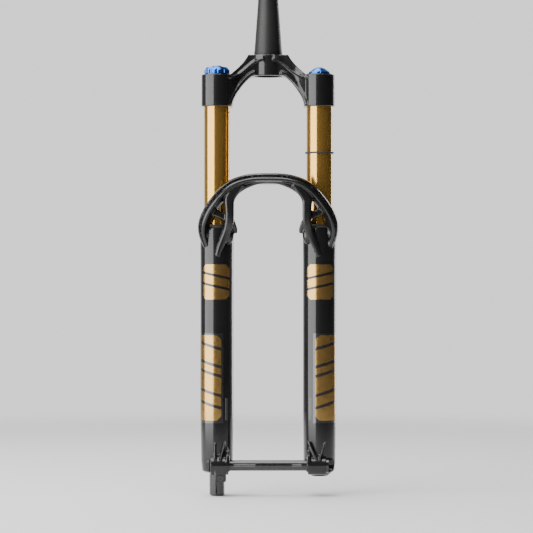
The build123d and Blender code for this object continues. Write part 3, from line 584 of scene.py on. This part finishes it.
def recut_holes(mesh):
    """Crisp holes and the clamp's slit, cut after the casting's edges are softened."""
    cuts = bmesh.new()
    rod(cuts, (HOSE_HOLE.x, -61.0 * MM, HOSE_HOLE.z), (HOSE_HOLE.x, -52.5 * MM, HOSE_HOLE.z), 1.7 * MM)
    for step in SIDES:
        mouth = BRAKE_POSTS + Vector((0, 1 * MM, step * BRAKE_STEP))
        rod(cuts, mouth, mouth + FRONT * 13 * MM, 2.5 * MM)
        mouth = MUDGUARD + Vector((step * MUDGUARD_STEP, 2 * MM, 0))
        rod(cuts, mouth, mouth + FRONT * 8 * MM, 2.1 * MM)
    # shadow groove round the damper-side leg
    lathe(cuts, [(22.4 * MM, -262.2 * MM), (24.0 * MM, -262.2 * MM), (24.0 * MM, -261.2 * MM),
                 (22.4 * MM, -261.2 * MM)], (-LEG_X, LEG_Y))
    mesh = cut(mesh, cuts)
    slit = bmesh.new()
    bolt = middle("pinch_bolt")
    block(slit, (bolt.x - 14 * MM, AXLE.y - 0.7 * MM, bolt.z - 8 * MM),
          (bolt.x + 14 * MM, AXLE.y + 0.7 * MM, AXLE.z - 9 * MM))
    return cut(mesh, slit)


def make_casting():
    low = cad_copy("lower_casting")
    cutter = bmesh.new()
    block(cutter, (-0.2, -0.2, CUT_Z), (0.2, 0.2, 0.1))
    low = cut(low, cutter)
    top = bmesh.new()
    arch_solid(top)
    strut_solids(top)
    root_solids(top)
    skin = cast(joined(low, mesh_of(top)), 0.75 * MM, 5)
    # clear the stanchions' and wipers' room
    room = bmesh.new()
    for side in SIDES:
        rod(room, (side * LEG_X, LEG_Y, -243.4 * MM), (side * LEG_X, LEG_Y, -160 * MM), 22.6 * MM, 96)
    skin = cut(skin, room)
    # the seats of the wipers and foam rings, and the bores below them
    for radius, low_z, high_z in ((21.45, -256.0, -240.0), (18.95, -300.0, -250.0)):
        bores = bmesh.new()
        for side in SIDES:
            rod(bores, (side * LEG_X, LEG_Y, low_z * MM), (side * LEG_X, LEG_Y, high_z * MM),
                radius * MM, 96)
        skin = cut(skin, bores)
    for side in SIDES:
        true_up(skin, (side * LEG_X, LEG_Y), leg_radius, -566 * MM, -250 * MM, 0.45 * MM)
    skin = recut_holes(skin)
    piece = finished("lower_casting_skin", skin, "paint", "lowers")
    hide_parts("lower_casting")


# ------------------------------------------------------------------ crown
def make_crown():
    beads = bmesh.new()

    def face_y(x):
        """Depth of the arm's front face at a distance from the steerer."""
        return float(np.interp(x, [17.0, 32.0, 41.0, 45.0, 50.0, 55.6, 62.0],
                               [-21.5, -22.6, -24.8, -28.2, -33.8, -39.8, -44.5]))

    for side in SIDES:
        under = [(18.0, -25.0), (25.5, -28.5), (35.0, -37.5), (43.0, -48.0), (49.5, -59.0),
                 (54.0, -71.5)]
        sweep(beads, [Vector((side * x, face_y(x) + 0.4, z)) * MM for x, z in under],
              rounded_section(6.4, 6.0, 2.9))
        # sloped band along the upper front edge of the arm, broad at the steerer
        over = [(7.0, -24.6, -3.2), (14.0, -23.5, -4.8), (21.0, -22.0, -8.4), (29.0, -22.8, -15.2),
                (37.0, -24.0, -22.4), (44.0, -27.6, -27.2), (51.0, -34.5, -30.2), (58.0, -41.0, -31.0)]
        band = [(side * -n, d) for n, d in ((3.6, -4.0), (3.2, -1.4), (-2.8, 2.9), (-3.8, 2.0),
                                            (-3.8, -4.0))]
        sweep(beads, [Vector((side * x, y, z)) * MM for x, y, z in over], band,
              lambda share: (1.25 - 0.5 * share, 1.25 - 0.5 * share, 1.0))
    skin = cast(joined(cad_copy("crown"), mesh_of(beads)), 0.85 * MM, 12)
    for side in SIDES:
        true_up(skin, (side * LEG_X, LEG_Y), lambda z: np.full_like(z, LOBE_R),
                CROWN_BOTTOM + 1.5 * MM, LOBE_TOP - 2.0 * MM, 0.4 * MM)
    piece = finished("crown_skin", skin, "paint", "uppers")
    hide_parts("crown")


# ------------------------------------------------------------------ graphics
# heights in millimetres at which a wrapped shape is divided: first, end, step
WRAP_LEVELS = (-700, -20, 12)


def wrapped(name, shapes, side, radius, look, body, thickness=0.09 * MM, step=1.2 * MM):
    """Thin foil shapes laid round a leg. Shape points are (distance round, height) in millimetres,
    with the distance round growing outwards from the leg's front."""
    bm = bmesh.new()
    for shape in shapes:
        bm.faces.new([bm.verts.new((u * MM, 0, v * MM)) for u, v in shape])
    left = min(v.co.x for v in bm.verts)
    right = max(v.co.x for v in bm.verts)
    for i in range(1, int((right - left) / step) + 1):
        bmesh.ops.bisect_plane(bm, geom=bm.verts[:] + bm.edges[:] + bm.faces[:],
                               plane_co=(left + i * step, 0, 0), plane_no=(1, 0, 0))
    low = min(v.co.z for v in bm.verts)
    high = max(v.co.z for v in bm.verts)
    for height in range(*WRAP_LEVELS):
        if low < height * MM < high:
            bmesh.ops.bisect_plane(bm, geom=bm.verts[:] + bm.edges[:] + bm.faces[:],
                                   plane_co=(0, 0, height * MM), plane_no=(0, 0, 1))
    for vert in bm.verts:
        reach = float(radius(vert.co.z)) if callable(radius) else radius
        angle = vert.co.x / reach
        vert.co = Vector((side * (LEG_X + reach * math.sin(angle)), LEG_Y - reach * math.cos(angle),
                          vert.co.z))
    mesh = mesh_of(bm)
    flipped = bmesh.new()
    flipped.from_mesh(mesh)
    for face in flipped.faces:
        centre = face.calc_center_median()
        outward = Vector((centre.x - side * LEG_X, centre.y - LEG_Y, 0))
        if face.normal.dot(outward) < 0:
            face.normal_flip()
    flipped.to_mesh(mesh)
    flipped.free()
    mesh = baked(mesh, ("SOLIDIFY", {"thickness": thickness, "offset": 1.0}))
    return finished(name, mesh, look, body)


def slashed_block(left, right, top, bottom, chamfer, cuts, gap, lean):
    """A block with cut corners, divided by leaning gaps into separate bars."""
    edges = [top, *cuts, bottom]
    shapes = []
    for index, (high, low) in enumerate(zip(edges, edges[1:])):
        first, last = index == 0, index == len(edges) - 2
        tl = high - (0 if first else gap / 2)
        bl = low + (0 if last else gap / 2)
        rise = (0 if first else lean, 0 if last else lean)
        bar = []
        if first:
            bar += [(left, tl - chamfer), (left + chamfer, tl),
                    (right - chamfer, tl), (right, tl - chamfer)]
        else:
            bar += [(left, tl), (right, tl + rise[0])]
        if last:
            bar += [(right, bl + chamfer), (right - chamfer, bl),
                    (left + chamfer, bl), (left, bl + chamfer)]
        else:
            bar += [(right, bl + rise[1]), (left, bl)]
        shapes.append(bar)
    return shapes


def make_graphics():
    def skin(extra):
        return lambda z: leg_radius(z) + extra * MM

    for side, label in ((-1, "damper"), (1, "air")):
        upper = slashed_block(-20.0, 22.5, -294.0, -343.0, 6.0, (-314.0, -329.0), 3.4, 9.0)
        wrapped(f"upper_graphic_{label}", upper, side, skin(0.03), "graphic", "lowers")
        lower = slashed_block(-6.5, 39.0, -392.6, -511.4, 6.0,
                              (-412.0, -437.0, -450.0, -477.0, -494.0), 4.2, 13.0)
        wrapped(f"lower_graphic_{label}", lower, side, skin(0.13), "graphic", "lowers")
        film = [[(-9.5, -390.0), (42.0, -390.0), (42.0, -515.0), (-9.5, -515.0)]]
        wrapped(f"film_{label}", film, side, skin(0.02), "film", "lowers",
                thickness=0.07 * MM)
        # two fine plain lines on the inner side
        note = [[(u, -480.0), (u + 0.5, -480.0), (u + 0.5, -511.0), (u, -511.0)] for u in (-15.5, -13.2)]
        wrapped(f"note_{label}", note, side, skin(0.05), "print", "lowers")


def make_stanchion_marks():
    """Small dark etched marks just under the crown."""
    half, height, pitch, top = 1.4, 1.8, 3.0, -81.0
    for side, label in ((-1, "damper"), (1, "air")):
        for name, where, count in (("outer", 16.5 * 1.22, 3), ("inner", -16.5 * 1.30, 1)):
            marks = []
            for step in range(count):
                z = top - step * pitch
                marks.append([(where - half, z), (where + half, z),
                              (where + half, z - height), (where - half, z - height)])
            wrapped(f"etched_{name}_{label}", marks, side, STANCHION_R + 0.004 * MM, "rubber",
                    "uppers", thickness=0.02 * MM)


def make_axle_marks():
    """Two pairs of plain lines along the front of the axle."""
    radius = (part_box("axle_sleeve")[1].z - AXLE.z - 2.0 * MM) + 0.02 * MM
    for name, left, right in (("left", -48.0, -18.0), ("right", 33.0, 46.0)):
        bm = bmesh.new()
        for lift in (-4, 12):
            edges = []
            for step in range(3):
                angle = math.radians(lift + 3 * step)
                y, z = AXLE.y - radius * math.cos(angle), AXLE.z + radius * math.sin(angle)
                edges.append([bm.verts.new((x * MM, y, z)) for x in (left, right)])
            for low, high in zip(edges, edges[1:]):
                bm.faces.new((low[0], low[1], high[1], high[0]))
        mesh = baked(mesh_of(bm), ("SOLIDIFY", {"thickness": 0.04 * MM, "offset": 0.0}))
        finished(f"axle_marks_{name}", mesh, "print", "thru_axle")


# ------------------------------------------------------------------ stage, lights and camera
def make_stage():
    """A pale floor whose edge fades out, under a studio that is pale behind the fork."""
    half = 3.2
    bm = bmesh.new()
    corners = [(-half, -half), (half, -half), (half, half), (-half, half)]
    bm.faces.new([bm.verts.new((x, y, FLOOR_Z - 0.0005)) for x, y in corners])
    mesh = bpy.data.meshes.new("floor")
    bm.to_mesh(mesh)
    bm.free()
    floor = bpy.data.objects.new("floor", mesh)
    bpy.context.scene.collection.objects.link(floor)
    surface = Shader("pale_floor", (0.74, 0.74, 0.73), roughness=0.7)
    surface.set("Specular IOR Level", 0.1)
    surface.vary_roughness(surface.noise(8), 0.05)
    spread = surface.node("ShaderNodeVectorMath", operation="DISTANCE")
    spread.inputs[1].default_value = (0, 0.35, 0)
    surface.link(surface.place((1, 1, 0)), spread.inputs[0])
    fade = surface.node("ShaderNodeMapRange", interpolation_type="SMOOTHSTEP")
    for socket, value in (("From Min", 0.9), ("From Max", 1.7), ("To Min", 1.0), ("To Max", 0.0)):
        fade.inputs[socket].default_value = value
    surface.link(spread.outputs["Value"], fade.inputs["Value"])
    surface.link(fade.outputs["Result"], surface.bsdf.inputs["Alpha"])
    mesh.materials.append(surface.mat)

    world = bpy.data.worlds.new("studio")
    bpy.context.scene.world = world
    world.use_nodes = True
    tree = world.node_tree
    coords = tree.nodes.new("ShaderNodeTexCoord")
    split = tree.nodes.new("ShaderNodeSeparateXYZ")
    scale = tree.nodes.new("ShaderNodeMapRange")
    for socket, value in (("From Min", 0.55), ("From Max", 0.98), ("To Min", 0.07), ("To Max", 1.1)):
        scale.inputs[socket].default_value = value
    # the camera sees the same pale wall from every side
    path = tree.nodes.new("ShaderNodeLightPath")
    wall = tree.nodes.new("ShaderNodeMix")
    wall.inputs[3].default_value = 1.25
    tree.links.new(coords.outputs["Generated"], split.inputs[0])
    tree.links.new(split.outputs["Y"], scale.inputs["Value"])
    tree.links.new(path.outputs["Is Camera Ray"], wall.inputs[0])
    tree.links.new(scale.outputs["Result"], wall.inputs[2])
    tree.links.new(wall.outputs[0], tree.nodes["Background"].inputs["Strength"])
    tree.nodes["Background"].inputs["Color"].default_value = (1, 1, 1, 1)


def area_light(name, azimuth, height, distance, width, tall, power):
    """Softbox at an azimuth from the fork's front, positive towards +X, aimed at the fork."""
    data = bpy.data.lights.new(name, "AREA")
    data.shape = "RECTANGLE"
    data.size = width
    data.size_y = tall
    data.energy = power
    lamp = bpy.data.objects.new(name, data)
    bpy.context.scene.collection.objects.link(lamp)
    angle = math.radians(azimuth)
    lamp.location = (distance * math.sin(angle), -distance * math.cos(angle), height)
    target = Vector((0, 0, -0.3))
    lamp.rotation_mode = "QUATERNION"
    lamp.rotation_quaternion = (target - lamp.location).to_track_quat("-Z", "Y")


def make_lights():
    area_light("key", -58, -0.1, 2.2, 2.8, 2.6, 150)
    area_light("rim", 140, 0.0, 2.4, 0.3, 2.4, 20)
    area_light("top", -75, 1.6, 0.5, 2.8, 1.8, 100)


def make_camera():
    """Level, straight from the front and from well back, a little to the -X side."""
    data = bpy.data.cameras.new("camera")
    camera = bpy.data.objects.new("camera", data)
    bpy.context.scene.collection.objects.link(camera)
    distance = 3.5
    view_width = 0.746
    data.sensor_width = 36
    data.lens = data.sensor_width * distance / view_width
    camera.location = (-0.0024, LEG_Y - distance, -0.297)
    camera.rotation_euler = (math.radians(90), 0, 0)
    bpy.context.scene.camera = camera


dress_cad_nodes()
make_casting()
make_crown()
make_graphics()
make_stanchion_marks()
make_axle_marks()
make_stage()
make_lights()
make_camera()
